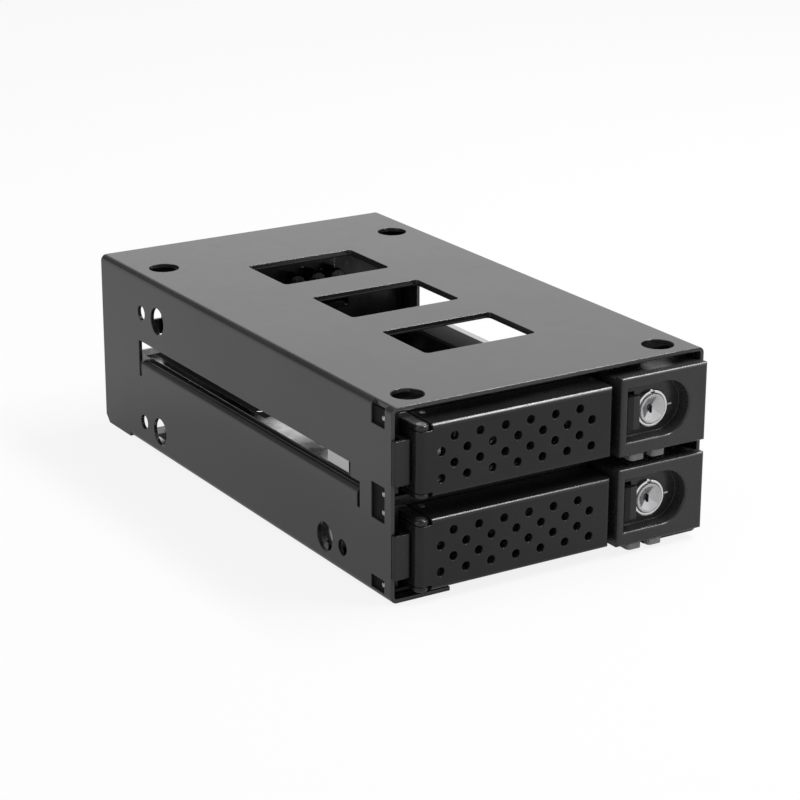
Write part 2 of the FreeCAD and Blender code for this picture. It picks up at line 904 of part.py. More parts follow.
# Hollow block with the recess, slider guides, spring stop, lock boss and screw bosses
def latch_housing(base):
    low = base + housing_low
    high = low + housing_height
    front = -front_reach
    step = housing_step
    shoulder = high - crest_height
    face = box(housing_left, housing_right, front, front + crest_depth, low, high)
    face = rounded(face, housing_round, lambda e: at_depth(e, front))
    middle = box(housing_left, housing_right, front + crest_depth, step, low, shoulder)
    body = joined([face, middle, box(housing_left, pan_inner, step, back_front, low, shoulder)])
    floor_z = low + housing_wall
    roof_z = high - housing_wall
    body = body.cut(box(cavity_left, cavity_right, front + housing_wall, back_front + 1, floor_z, roof_z))
    lip_low = slider_low(base) - slider_gap
    lip_right = recess_left + rib_left_gap + rib_width + slider_travel
    stop_left = spring_start() + spring_length
    stop_low = arm_top(base) - arm_height
    lock_z = lock_height(base)
    boss = shank_radius + lock_boss_wall
    keep_front = slider_back + slider_gap
    keep_back = keep_front + guide_lip
    lip_base = lip_low - guide_lip
    stop_right = stop_left + stop_width
    pieces = [
        recess_prism(base, recess_wall, front + housing_wall / 2, floor_back),
        box(cavity_left, lip_right, floor_back, keep_back, lip_base, lip_low),
        box(cavity_left, lip_right, keep_front, keep_back, lip_base, lip_low + guide_lip),
        box(stop_left, stop_right, floor_back, slider_front + arm_depth, stop_low, roof_z),
        rod_y(lock_x, lock_z, boss, recess_floor, floor_back + lock_boss_depth),
        guide_post(base),
    ]
    for x, z in housing_screw_places(base):
        pieces.append(rod_y(x, z, boss_radius, back_front - boss_length, back_front))
    body = joined([body] + pieces)
    tooth_mid = low + recess_rise
    tooth_half = tooth_height / 2 + slider_gap
    cuts = [
        recess_prism(base, 0, front - 1, recess_floor),
        rib_box(base, slider_gap, slider_travel + slider_gap, slider_gap, recess_floor - 1, floor_back + 1),
        box(
            housing_left - 1,
            cavity_left + 1,
            slider_front - slider_gap,
            slider_back + slider_gap,
            tooth_mid - tooth_half,
            tooth_mid + tooth_half,
        ),
        rod_y(lock_x, lock_z, shank_radius + shank_fit, recess_floor - 1, floor_back + lock_boss_depth + 1),
    ]
    for x, z in housing_screw_places(base):
        cuts.append(rod_y(x, z, housing_screw_radius, back_front - housing_screw_grip, back_front + 1))
    for height in pan_screw_places(base):
        cuts.append(mirrored(flat_screw(-tray_half, pan_screw_y, height)))
    body = body.cut(Part.makeCompound(cuts + light_guides(base)))
    return rounded(body, recess_round, lambda e: at_depth(e, front) and inside_recess(e, base))


def housing_screws(base):
    screws = []
    for x, z in housing_screw_places(base):
        shank = rod_y(x, z, housing_screw_radius, back_front - housing_screw_grip, back_rear)
        head = rod_y(x, z, housing_screw_head, back_rear, back_rear + screw_head_height)
        screws.append(joined([shank, head]))
    return screws


def lock_bezel(base):
    z = lock_height(base)
    front = recess_floor - bezel_height
    ring = rod_y(lock_x, z, bezel_radius, front, recess_floor)
    return ring.cut(rod_y(lock_x, z, head_radius + head_gap, front - 1, recess_floor + 1))


# Barrel with a dished face, a key slot and a thinner tail for the cam
def lock_barrel(base):
    z = lock_height(base)
    front = recess_floor - bezel_height - head_proud
    head_back = recess_floor - head_lift
    shank_back = floor_back + lock_boss_depth + cam_gap
    tail_back = shank_back + cam_thickness + nut_height + tail_past_nut
    body = joined([
        rod_y(lock_x, z, head_radius, front, head_back),
        rod_y(lock_x, z, shank_radius, head_back, shank_back),
        rod_y(lock_x, z, tail_radius, shank_back, tail_back),
    ])
    mouth = shank_radius
    dish = Part.makeCone(mouth, cone_inner, cone_depth, vec(lock_x, front, z), vec(0, 1, 0))
    slot = box(
        lock_x - key_width / 2,
        lock_x + key_width / 2,
        front - 1,
        front + cone_depth + key_depth,
        z - mouth + key_width / 2,
        z + mouth - key_width / 2,
    )
    return body.cut(Part.makeCompound([dish, slot]))


def cam_front():
    return floor_back + lock_boss_depth + cam_gap


def lock_cam(base):
    z = lock_height(base)
    front = cam_front()
    back = front + cam_thickness
    arm = box(lock_x, lock_x + cam_length, front, back, z - cam_width / 2, z + cam_width / 2)
    cam = joined([arm, rod_y(lock_x, z, cam_width * 0.7, front, back)])
    return cam.cut(rod_y(lock_x, z, tail_radius, front - 1, back + 1))


def lock_nut(base):
    z = lock_height(base)
    front = cam_front() + cam_thickness
    corners = []
    for index in range(7):
        angle = math.radians(60 * index)
        corners.append(vec(lock_x + nut_radius * math.cos(angle), front, z + nut_radius * math.sin(angle)))
    nut = Part.Face(Part.makePolygon(corners)).extrude(vec(0, nut_height, 0))
    return nut.cut(rod_y(lock_x, z, tail_radius, front - 1, front + nut_height + 1))


def guide_lefts():
    start = housing_left + guide_inset
    return [start, start + guide_pitch]


# Each guide: a rounded tab under the housing, a stem through its floor and a rod back to the board
def light_guides(base):
    guides = []
    low = base + housing_low
    front = guide_setback - front_reach
    upright = vec(0, 0, 1)
    deck = low + housing_wall
    back = front + guide_length
    for left in guide_lefts():
        right = left + guide_width
        tab = box(left, right, front, back, low - guide_drop, low)
        tab = rounded(tab, guide_round, lambda e: runs_along(e, upright) and e.CenterOfMass.y < front + 1e-6)
        stem = box(left, right, back - stem_length, back, low, deck + guide_rod)
        rod = box(left, right, back - stem_length, led_board_y, deck, deck + guide_rod)
        guides.append(joined([tab, stem, rod]))
    return guides


def guide_post(base):
    low = base + housing_low
    first, second = guide_lefts()
    gap = second - first - guide_width
    middle = (first + guide_width + second) / 2
    front = guide_setback - front_reach
    half = gap / 4
    back = front + guide_length / 2
    return box(middle - half, middle + half, front, back, low - guide_drop / 2, low + housing_wall)


def indicator_board(base):
    deck = base + housing_low + housing_wall
    first, second = guide_lefts()
    left = first - led_board_margin
    right = second + guide_width + led_board_margin
    high = slider_low(base) - slider_gap - guide_lip - led_board_gap
    return box(left, right, led_board_y, led_board_y + led_board_thickness, deck, high)


def save_case():
    save("case_shell", case_shell())
    strip = guide_strip()
    save("left_guide_strip", strip)
    save("right_guide_strip", mirrored(strip))
    save_group("strip_rivets", strip_rivets())
    save("backplane_board", backplane_board())
    save("left_board_bracket", board_bracket(board_left))
    save("right_board_bracket", mirrored(board_bracket(board_right)))
    save_group("board_screws", board_screws())
    save_group("data_connectors", data_connectors())
    save("power_connector", power_connector())
    save_group("board_capacitors", board_capacitors())


def save_bay(bay, side):
    base = tray_bottom(bay)
    save(side + "_drive_connector", drive_connector(bay))
    save(side + "_tray_pan", tray_pan(base))
    save_group(side + "_pan_screws", pan_screws(base))
    save(side + "_front_frame", front_frame(base))
    save(side + "_hinge_pin", hinge_pin(base))
    save(side + "_lever", lever(base))
    save(side + "_latch_housing", latch_housing(base))
    save_group(side + "_housing_screws", housing_screws(base))
    save(side + "_latch_slider", latch_slider(base))
    save(side + "_latch_spring", latch_spring(base))
    save(side + "_lock_bezel", lock_bezel(base))
    save(side + "_lock_barrel", lock_barrel(base))
    save(side + "_lock_cam", lock_cam(base))
    save(side + "_lock_nut", lock_nut(base))
    save_group(side + "_light_guides", light_guides(base))
    save(side + "_indicator_board", indicator_board(base))


save_case()
save_bay(0, "lower")
save_bay(1, "upper")
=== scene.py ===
import json
import math

import bpy
import numpy as np
from mathutils import Matrix, Vector

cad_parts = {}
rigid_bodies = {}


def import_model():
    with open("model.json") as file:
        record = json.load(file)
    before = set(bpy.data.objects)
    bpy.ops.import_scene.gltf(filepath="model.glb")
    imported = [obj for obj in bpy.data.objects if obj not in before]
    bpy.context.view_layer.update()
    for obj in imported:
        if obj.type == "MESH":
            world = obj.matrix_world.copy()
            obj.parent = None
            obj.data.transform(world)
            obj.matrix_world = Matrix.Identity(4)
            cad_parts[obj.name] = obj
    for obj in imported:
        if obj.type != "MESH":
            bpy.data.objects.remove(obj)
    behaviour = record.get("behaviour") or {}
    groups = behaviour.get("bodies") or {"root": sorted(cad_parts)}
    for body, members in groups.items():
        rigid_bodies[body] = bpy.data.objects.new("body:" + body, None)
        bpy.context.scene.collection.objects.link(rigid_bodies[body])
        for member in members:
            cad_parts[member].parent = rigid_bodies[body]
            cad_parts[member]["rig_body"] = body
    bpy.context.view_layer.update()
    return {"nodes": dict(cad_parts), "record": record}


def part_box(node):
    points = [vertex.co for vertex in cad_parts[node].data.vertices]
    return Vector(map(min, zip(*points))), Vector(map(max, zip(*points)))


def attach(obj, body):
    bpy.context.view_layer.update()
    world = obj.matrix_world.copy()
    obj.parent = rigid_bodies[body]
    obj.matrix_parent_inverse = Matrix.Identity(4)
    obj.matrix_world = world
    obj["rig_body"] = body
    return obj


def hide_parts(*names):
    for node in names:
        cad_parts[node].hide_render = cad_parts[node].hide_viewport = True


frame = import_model()
nodes = frame["nodes"]
print("frame loaded:", len(nodes), "nodes")

scene = bpy.context.scene
scene.view_settings.view_transform = "Standard"


# material helpers, so that each finish below is one short call
def newMaterial(name):
    mat = bpy.data.materials.new(name)
    mat.use_nodes = True
    tree = mat.node_tree
    tree.nodes.clear()
    out = tree.nodes.new("ShaderNodeOutputMaterial")
    shader = tree.nodes.new("ShaderNodeBsdfPrincipled")
    tree.links.new(shader.outputs["BSDF"], out.inputs["Surface"])
    return mat, tree, shader


def addNode(tree, kind, **sockets):
    node = tree.nodes.new(kind)
    for key, value in sockets.items():
        node.inputs[key].default_value = value
    return node


def noiseOn(tree, vector, scale, detail):
    noise = addNode(tree, "ShaderNodeTexNoise", Scale=scale, Detail=detail)
    tree.links.new(vector, noise.inputs["Vector"])
    return noise.outputs["Fac"]


def mapRange(tree, value, low, high, toLow, toHigh):
    node = tree.nodes.new("ShaderNodeMapRange")
    node.inputs["From Min"].default_value = low
    node.inputs["From Max"].default_value = high
    node.inputs["To Min"].default_value = toLow
    node.inputs["To Max"].default_value = toHigh
    tree.links.new(value, node.inputs["Value"])
    return node.outputs["Result"]


def mixColour(tree, factor, dark, light):
    node = tree.nodes.new("ShaderNodeMix")
    node.data_type = "RGBA"
    tree.links.new(factor, node.inputs["Factor"])
    for socket, value in ((node.inputs["A"], dark), (node.inputs["B"], light)):
        if isinstance(value, (tuple, list)):
            socket.default_value = (*value, 1.0)
        else:
            tree.links.new(value, socket)
    return node.outputs["Result"]


def edgeNormal(tree, radius):
    # normal rounded over the edges inside the radius, and how far it leans there
    bevel = tree.nodes.new("ShaderNodeBevel")
    bevel.samples = shared["bevelSamples"]
    bevel.inputs["Radius"].default_value = radius
    flat = tree.nodes.new("ShaderNodeNewGeometry")
    lean = tree.nodes.new("ShaderNodeVectorMath")
    lean.operation = "DOT_PRODUCT"
    tree.links.new(bevel.outputs["Normal"], lean.inputs[0])
    tree.links.new(flat.outputs["Normal"], lean.inputs[1])
    return bevel.outputs["Normal"], lean.outputs["Value"]


def mathNode(tree, operation, first, second=None):
    node = tree.nodes.new("ShaderNodeMath")
    node.operation = operation
    tree.links.new(first, node.inputs[0])
    if second:
        tree.links.new(second, node.inputs[1])
    return node.outputs[0]


def zoneMask(tree, coords, zones):
    # greatest of the zones, each the product of ramps along the axes from nothing to whole between two places
    parts = tree.nodes.new("ShaderNodeSeparateXYZ")
    tree.links.new(coords, parts.inputs[0])
    whole = None
    for ramps in zones:
        mask = None
        for axis, mirrored, start, end in ramps:
            place = parts.outputs[axis]
            if mirrored:
                place = mathNode(tree, "ABSOLUTE", place)
            ramp = mapRange(tree, place, start, end, 0.0, 1.0)
            mask = mathNode(tree, "MULTIPLY", mask, ramp) if mask else ramp
        whole = mathNode(tree, "MAXIMUM", whole, mask) if whole else mask
    return whole


# what all finishes share: noises beside the drift and the grain, and where each noise or lean starts and ends
shared = dict(patchScale=9.0, fineScale=3.1, fineBump=0.6, fineDepth=0.5,
              slowDetail=3.0, grainDetail=2.0, fineDetail=1.0, bevelSamples=8,
              drift=(0.35, 0.65), rubbed=(0.45, 0.65), lean=(0.98, 0.8), rough=(0.3, 0.7), ior=1.5)


def finishSurface(name, look):
    # colour drifts on a slow noise, edges are rubbed where a middle noise lets them, two bumps give the grain
    mat, tree, shader = newMaterial(name)
    coords = tree.nodes.new("ShaderNodeTexCoord").outputs["Object"]
    slow = noiseOn(tree, coords, look["driftScale"], shared["slowDetail"])
    patchy = noiseOn(tree, coords, look["driftScale"] * shared["patchScale"], shared["slowDetail"])
    grain = noiseOn(tree, coords, look["grainScale"], shared["grainDetail"])
    fine = noiseOn(tree, coords, look["grainScale"] * shared["fineScale"], shared["fineDetail"])
    rounded, lean = edgeNormal(tree, look["edge"])
    drift = mapRange(tree, slow, *shared["drift"], 0.0, 1.0)
    paint = mixColour(tree, drift, look["dark"], look["light"])
    rubbed = mathNode(tree, "MULTIPLY", mapRange(tree, lean, *shared["lean"], 0.0, 1.0),
                      mapRange(tree, patchy, *shared["rubbed"], 0.0, look["wear"]))
    colour = mixColour(tree, rubbed, paint, look["worn"])
    rough = mapRange(tree, patchy, *shared["rough"], *look["rough"])
    shader.inputs["Metallic"].default_value = look.get("metal", 0.0)
    # painted shade: inside the look's zones the colour turns dark, rougher and not metal
    if "paintedShade" in look:
        paintedShade = look["paintedShade"]
        mask = zoneMask(tree, coords, paintedShade["zones"])
        colour = mixColour(tree, mask, colour, paintedShade["colour"])
        blend = tree.nodes.new("ShaderNodeMix")
        tree.links.new(mask, blend.inputs["Factor"])
        tree.links.new(rough, blend.inputs["A"])
        blend.inputs["B"].default_value = paintedShade["rough"]
        rough = blend.outputs["Result"]
        if "metal" in look:
            tree.links.new(mapRange(tree, mask, 0.0, 1.0, look["metal"], 0.0), shader.inputs["Metallic"])
    tree.links.new(colour, shader.inputs["Base Color"])
    tree.links.new(rough, shader.inputs["Roughness"])
    first = addNode(tree, "ShaderNodeBump", Strength=look["bump"], Distance=look["grainDepth"])
    second = addNode(tree, "ShaderNodeBump", Strength=look["bump"] * shared["fineBump"],
                     Distance=look["grainDepth"] * shared["fineDepth"])
    tree.links.new(rounded, first.inputs["Normal"])
    tree.links.new(grain, first.inputs["Height"])
    tree.links.new(fine, second.inputs["Height"])
    tree.links.new(first.outputs["Normal"], second.inputs["Normal"])
    tree.links.new(second.outputs["Normal"], shader.inputs["Normal"])
    shader.inputs["IOR"].default_value = look.get("ior", shared["ior"])
    shader.inputs["Transmission Weight"].default_value = look.get("clear", 0.0)
    return mat


# finishes in metres; a painted shade is a darker second colour in zones, and the slider's leaves out a strip
# at its right end
# painted shadow: the slider's face is black from its left up to a strip at its right end, for the shadow of
# the slot it runs in
unshadowedStrip = 0.0024
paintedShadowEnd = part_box("lower_latch_slider")[1][0] - unshadowedStrip
looks = {
    "powderCoat": dict(dark=(0.012, 0.012, 0.0125), light=(0.016, 0.016, 0.0165),
                       worn=(0.05, 0.05, 0.05), wear=0.5,
                       rough=(0.21, 0.24), ior=1.65, edge=0.0004,
                       driftScale=22.0, grainScale=1500.0, grainDepth=0.00003, bump=0.07),
    "traySteel": dict(dark=(0.50, 0.50, 0.51), light=(0.58, 0.58, 0.59), worn=(0.66, 0.66, 0.67), wear=0.4,
                      rough=(0.10, 0.18), metal=1.0, edge=0.0002,
                      # painted shade: black zones across the front and over the back of the floor inside its
                      # side edges stand in for the shade and dark reflections inside the case
                      paintedShade=dict(zones=[[("X", True, 0.0503, 0.0500), ("Y", False, -0.0085, -0.0080)],
                                       [("Y", False, -0.0700, -0.0705)]],
                                colour=(0.008, 0.008, 0.008), rough=0.6),
                      driftScale=30.0, grainScale=1500.0, grainDepth=0.00002, bump=0.08),
    "stripPlastic": dict(dark=(0.004, 0.004, 0.0042), light=(0.007, 0.007, 0.0072),
                         worn=(0.02, 0.02, 0.02), wear=0.4,
                         rough=(0.6, 0.7), ior=1.25, edge=0.0002,
                         driftScale=40.0, grainScale=2200.0, grainDepth=0.00003, bump=0.2),
    "leverPlastic": dict(dark=(0.008, 0.008, 0.0084), light=(0.012, 0.012, 0.0124),
                         worn=(0.03, 0.03, 0.03), wear=0.5,
                         rough=(0.20, 0.28), ior=1.4, edge=0.0005,
                         driftScale=40.0, grainScale=2600.0, grainDepth=0.00003, bump=0.12),
    "housingPlastic": dict(dark=(0.016, 0.016, 0.0165), light=(0.022, 0.022, 0.0225),
                           worn=(0.05, 0.05, 0.05), wear=0.5,
                           rough=(0.24, 0.32), ior=1.5, edge=0.0005,
                           driftScale=40.0, grainScale=2600.0, grainDepth=0.00003, bump=0.15),
    "framePlastic": dict(dark=(0.006, 0.006, 0.0063), light=(0.010, 0.010, 0.0104),
                         worn=(0.03, 0.03, 0.03), wear=0.5,
                         rough=(0.24, 0.32), ior=1.48, edge=0.0004,
                         driftScale=40.0, grainScale=2200.0, grainDepth=0.00003, bump=0.15),
    "sliderPlastic": dict(dark=(0.010, 0.010, 0.0104), light=(0.014, 0.014, 0.0144),
                          worn=(0.03, 0.03, 0.03), wear=0.5,
                          rough=(0.26, 0.34), ior=1.5, edge=0.0004,
                          # painted shadow of the slot the slider runs in, laid black on the face up to the
                          # strip at its right end
                          paintedShade=dict(zones=[[("X", False, paintedShadowEnd, paintedShadowEnd - 0.0001)]],
                                    colour=(0.002, 0.002, 0.002), rough=0.8),
                          driftScale=40.0, grainScale=2200.0, grainDepth=0.00003, bump=0.15),
    "boardMask": dict(dark=(0.008, 0.009, 0.009), light=(0.013, 0.014, 0.014),
                      worn=(0.10, 0.10, 0.08), wear=0.4,
                      rough=(0.25, 0.4), edge=0.0001,
                      driftScale=60.0, grainScale=900.0, grainDepth=0.00004, bump=0.3),
    "plateSteel": dict(dark=(0.42, 0.42, 0.43), light=(0.55, 0.55, 0.56), worn=(0.66, 0.66, 0.67), wear=0.5,
                       rough=(0.24, 0.4), metal=1.0, edge=0.0002,
                       driftScale=50.0, grainScale=1800.0, grainDepth=0.00003, bump=0.25),
    "brightChrome": dict(dark=(0.78, 0.78, 0.79), light=(0.86, 0.86, 0.87), worn=(0.70, 0.70, 0.71), wear=0.3,
                         rough=(0.06, 0.14), metal=1.0, edge=0.0002,
                         driftScale=80.0, grainScale=2500.0, grainDepth=0.00002, bump=0.12),
    "cutChrome": dict(dark=(0.50, 0.50, 0.51), light=(0.60, 0.60, 0.61), worn=(0.5, 0.5, 0.5), wear=0.3,
                      rough=(0.22, 0.32), metal=1.0, edge=0.0001,
                      driftScale=300.0, grainScale=2500.0, grainDepth=0.00002, bump=0.12),
    "sleeveFilm": dict(dark=(0.008, 0.008, 0.009), light=(0.012, 0.012, 0.013),
                       worn=(0.03, 0.03, 0.03), wear=0.3,
                       rough=(0.12, 0.2), edge=0.0001,
                       driftScale=90.0, grainScale=2200.0, grainDepth=0.00002, bump=0.1),
    "goldPlate": dict(dark=(0.74, 0.52, 0.22), light=(0.83, 0.62, 0.28), worn=(0.6, 0.45, 0.25), wear=0.3,
                      rough=(0.16, 0.28), metal=1.0, edge=0.0001,
                      driftScale=200.0, grainScale=2500.0, grainDepth=0.00002, bump=0.1),
    "solderTin": dict(dark=(0.55, 0.56, 0.57), light=(0.66, 0.67, 0.68), worn=(0.7, 0.7, 0.7), wear=0.2,
                      rough=(0.2, 0.34), metal=1.0, edge=0.0001,
                      driftScale=300.0, grainScale=1800.0, grainDepth=0.00003, bump=0.2),
    "canAluminium": dict(dark=(0.62, 0.62, 0.64), light=(0.76, 0.76, 0.78), worn=(0.82, 0.82, 0.83), wear=0.4,
                         rough=(0.2, 0.32), metal=1.0, edge=0.0003,
                         driftScale=80.0, grainScale=2000.0, grainDepth=0.00003, bump=0.2),
    "frostedGuide": dict(dark=(0.16, 0.165, 0.17), light=(0.22, 0.225, 0.23), worn=(0.3, 0.3, 0.3), wear=0.4,
                         rough=(0.3, 0.42), clear=0.25, edge=0.0003,
                         driftScale=90.0, grainScale=2400.0, grainDepth=0.00004, bump=0.2),
    "paleSocket": dict(dark=(0.6, 0.59, 0.55), light=(0.7, 0.69, 0.65), worn=(0.76, 0.75, 0.72), wear=0.4,
                       rough=(0.35, 0.5), edge=0.0002,
                       driftScale=70.0, grainScale=2200.0, grainDepth=0.00004, bump=0.25),
}
finishes = {name: finishSurface(name, look) for name, look in looks.items()}
slotFinish = {
    "case_paint": "powderCoat", "tray_steel": "traySteel", "strip_plastic": "stripPlastic",
    "frame_plastic": "framePlastic", "lever_plastic": "leverPlastic", "housing_plastic": "housingPlastic",
    "slider_plastic": "sliderPlastic", "guide_plastic": "frostedGuide", "circuit_board": "boardMask",
    "socket_plastic": "framePlastic", "power_plastic": "paleSocket", "can_aluminium": "canAluminium",
    "bracket_steel": "plateSteel", "bright_steel": "plateSteel", "spring_steel": "plateSteel",
    "lock_chrome": "brightChrome",
}
for row in frame["record"]["subparts"]:
    mesh = nodes[row["node"]].data
    mesh.materials.clear()
    mesh.materials.append(finishes[slotFinish[row["material_slot"]]])
print("finishes on", len(nodes), "nodes")

# pieces that the solids leave plain: shapes worked out as whole arrays, in millimetres until they are placed
mm = 0.001
sharpAngle = math.radians(40)
bays = ("lower", "upper")


# quads between neighbouring rows and columns of a grid, wrapping round where asked
def gridQuads(rows, columns, wrapRows):
    row = np.arange(rows if wrapRows else rows - 1)[:, None] + np.zeros((1, columns), int)
    column = np.arange(columns)[None, :] + np.zeros_like(row)
    nextRow = (row + 1) % rows
    nextColumn = (column + 1) % columns
    corners = [row * columns + column, row * columns + nextColumn,
               nextRow * columns + nextColumn, nextRow * columns + column]
    return np.stack(corners, -1).reshape(-1, 4)


# rings of points in a row, each end closed by a fan to one point
def closedRings(rings, firstEnd, lastEnd):
    rows, columns = rings.shape[:2]
    points = np.vstack([rings.reshape(-1, 3), firstEnd, lastEnd])
    around = np.arange(columns)
    after = (around + 1) % columns
    tail = (rows - 1) * columns
    first = np.stack([np.full(columns, rows * columns), after, around], -1)
    last = np.stack([np.full(columns, rows * columns + 1), tail + around, tail + after], -1)
    return points, gridQuads(rows, columns, False), np.vstack([first, last])


# rings of points whose last ring joins the first
def loopedRings(rings):
    rows, columns = rings.shape[:2]
    return rings.reshape(-1, 3), gridQuads(rows, columns, True), np.zeros((0, 3), int)


# surface of revolution: radius times cosine and sine of the angle, and a height that a lift may vary with it
def turnedRings(profile, steps, lift=None):
    angle = np.linspace(0, 2 * np.pi, steps, endpoint=False)[None, :]
    radius = np.array([p[0] for p in profile], float)[:, None]
    height = np.array([p[1] for p in profile], float)[:, None] + 0 * angle
    if lift:
        height = height + lift(radius, angle)
    return np.stack([radius * np.cos(angle), radius * np.sin(angle), height], -1)


# solid of revolution whose profile starts and ends on the axis
def turned(profile, steps, lift=None):
    rings = turnedRings(profile, steps, lift)
    return closedRings(rings[1:-1], rings[0].mean(0), rings[-1].mean(0))


# power of a wave that keeps the wave's sign
def signed(wave, power):
    return np.sign(wave) * np.abs(wave) ** power


# superellipsoid: signed powers of sine and cosine over latitude and longitude make a box with soft edges
def softBox(size, power=0.28, rows=9, columns=24):
    up = np.linspace(-np.pi / 2, np.pi / 2, rows)[1:-1, None]
    turn = np.linspace(0, 2 * np.pi, columns, endpoint=False)[None, :]
    wide, deep, high = np.array(size) / 2
    rings = np.stack([wide * signed(np.cos(up), power) * signed(np.cos(turn), power),
                      deep * signed(np.cos(up), power) * signed(np.sin(turn), power),
                      high * signed(np.sin(up), power) + 0 * turn], -1)
    return closedRings(rings, (0, 0, -high), (0, 0, high))


# circles across a path: side and cross vectors carry cosine and sine of the angle times the radius
def tubeRings(path, side, radius, columns):
    along = np.gradient(path, axis=0)
    along /= np.linalg.norm(along, axis=1, keepdims=True)
    cross = np.cross(along, side)
    angle = np.linspace(0, 2 * np.pi, columns, endpoint=False)[None, :, None]
    wide = np.asarray(radius, float).reshape(-1, 1, 1)
    return path[:, None] + wide * (np.cos(angle) * side[:, None] + np.sin(angle) * cross[:, None])


# local Z turned to a direction, then moved to its place
def stood(part, towards, place):
    up = np.array(towards, float)
    right = np.cross((0, 0, 1) if abs(up[2]) < 0.5 else (0, 1, 0), up)
    right /= np.linalg.norm(right)
    return part[0] @ np.array([right, np.cross(up, right), up]) + np.array(place), part[1], part[2]


# faces reversed where the signed volume says that they point inwards
def outward(part):
    points, quads, triangles = part
    flat = np.vstack([quads[:, [0, 1, 2]], quads[:, [0, 2, 3]], triangles])
    a, b, c = np.moveaxis((points - points.mean(0))[flat], 1, 0)
    if (a * np.cross(b, c)).sum() < 0:
        return points, quads[:, ::-1], triangles[:, ::-1]
    return part


def addPiece(name, parts, finish, body, stands=()):
    starts = np.cumsum([0] + [len(part[0]) for part in parts])
    faces = []
    for part, start in zip(map(outward, parts), starts):
        faces += (part[1] + start).tolist() + (part[2] + start).tolist()
    mesh = bpy.data.meshes.new(name)
    mesh.from_pydata((np.vstack([part[0] for part in parts]) * mm).tolist(), [], faces)
    mesh.polygons.foreach_set("use_smooth", np.ones(len(mesh.polygons), bool))
    mesh.set_sharp_from_angle(angle=sharpAngle)
    mesh.materials.append(finishes[finish])
    obj = bpy.data.objects.new(name, mesh)
    scene.collection.objects.link(obj)
    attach(obj, body)
    if stands:
        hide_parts(*stands)


def boxOf(node):
    low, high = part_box(node)
    return np.array(low) / mm, np.array(high) / mm


# middles of the separate solids of a node, told apart by gaps along two axes
def middlesOf(node, first, second, gap=0.8):
    flat = np.empty(len(nodes[node].data.vertices) * 3, np.float32)
    nodes[node].data.vertices.foreach_get("co", flat)
    points = flat.reshape(-1, 3) / mm
    places = []
    for group in splitAt(points, first, gap):
        places += [(g.min(0) + g.max(0)) / 2 for g in splitAt(group, second, gap)]
    return places


def splitAt(points, axis, gap):
    ordered = points[np.argsort(points[:, axis])]
    return np.split(ordered, np.flatnonzero(np.diff(ordered[:, axis]) > gap) + 1)


# lock ring: a turned profile with quarter circles at its outer edge and inner lip; the notch at the top is
# a bell of the fourth power of the angle
ringLook = dict(inner=4.73, lip=0.3, edge=0.6, notchAngle=math.radians(90), notchWidth=math.radians(7),
                notchDepth=0.7)


def lockRing(low, high, look):
    outer = (high[0] - low[0]) / 2
    height = high[1] - low[1]
    inner, edge, lip = (look[key] for key in ("inner", "edge", "lip"))
    t = np.linspace(0, np.pi / 2, 7)
    outside = np.stack([outer - edge * (1 - np.cos(t)), height - edge * (1 - np.sin(t))], -1)
    inside = np.stack([inner + lip * (1 - np.sin(t)), height - lip * (1 - np.cos(t))], -1)
    profile = np.vstack([[(inner, 0), (outer, 0)], outside, inside])

    def notch(radius, angle):
        near = np.exp(-(((angle - look["notchAngle"]) / look["notchWidth"]) ** 4))
        return -look["notchDepth"] * near * profile[:, 1:]
    return loopedRings(turnedRings(profile, 120, notch))


# lock barrel: a turned head, shank and tail; its dish is cut into flat facets, each falling with the cosine
# of the angle from its own middle line
barrelLook = dict(dish=3.9, dishDepth=1.5, bottom=0.5, rim=0.25, head=1.35, shank=4.0, shankEnd=8.8, tail=2.0,
                  facets=7, start=math.radians(14))
# painted shade of the keyway: a black block's size, how far it is sunk behind the front and how far below the
# middle
keyLook = dict(size=(0.5, 2.4, 0.5), sunk=1.1, low=0.3)


def lockBarrel(radius, length, look):
    reach = np.linspace(look["bottom"], look["dish"], 14)
    share = (reach - look["bottom"]) / (look["dish"] - look["bottom"])
    dish = np.stack([reach, look["dishDepth"] * (share - 1)], -1)
    t = np.linspace(0, np.pi / 2, 6)
    rim = np.stack([radius - look["rim"] * (1 - np.sin(t)), -look["rim"] * (1 - np.cos(t))], -1)
    steps = [(radius, -look["head"]), (look["shank"], -look["head"]), (look["shank"], -look["shankEnd"]),
             (look["tail"], -look["shankEnd"]), (look["tail"], -length), (0, -length)]
    profile = np.vstack([[(0, -look["dishDepth"])], dish, rim, steps])
    inDish = np.concatenate([[0], share, np.zeros(len(profile) - 1 - len(share))])[:, None]

    def facet(r, angle):
        wedge = 2 * np.pi / look["facets"]
        off = (angle - look["start"]) % wedge - wedge / 2
        return look["dishDepth"] * inDish * (np.cos(off) - 1)
    return turned(profile, look["facets"] * 16, facet)


# screw: domed or flat head with a cross sunk where the point is near either diameter, then the shank
screwLook = dict(arm=0.75, reach=0.62, depth=0.8, flatDepth=1.0, soft=0.12, fade=0.25)


def screw(size, look):
    head, height, shank, length, dome = (size[key] for key in ("head", "height", "shank", "length", "dome"))
    reach = np.linspace(0, head, 15)
    top = height - dome * (reach / head) ** 2
    edge = height - dome
    skirt = [(head, edge * 0.5), (head, 0), (shank, 0)] if height else [(shank, -look["flatDepth"])]
    profile = np.vstack([np.stack([reach, top], -1), skirt, [(shank, -length), (0, -length)]])
    onTop = np.concatenate([np.ones(len(reach)), np.zeros(len(profile) - len(reach))])[:, None]

    def cross(radius, angle):
        off = radius * np.minimum(np.abs(np.sin(angle)), np.abs(np.cos(angle)))
        sunk = np.clip((look["arm"] / 2 - off) / look["soft"] + 0.5, 0, 1)
        sunk = sunk * np.clip((look["reach"] * head - radius) / look["fade"], 0, 1)
        return -look["depth"] * sunk * onTop
    return turned(profile, 48, cross)


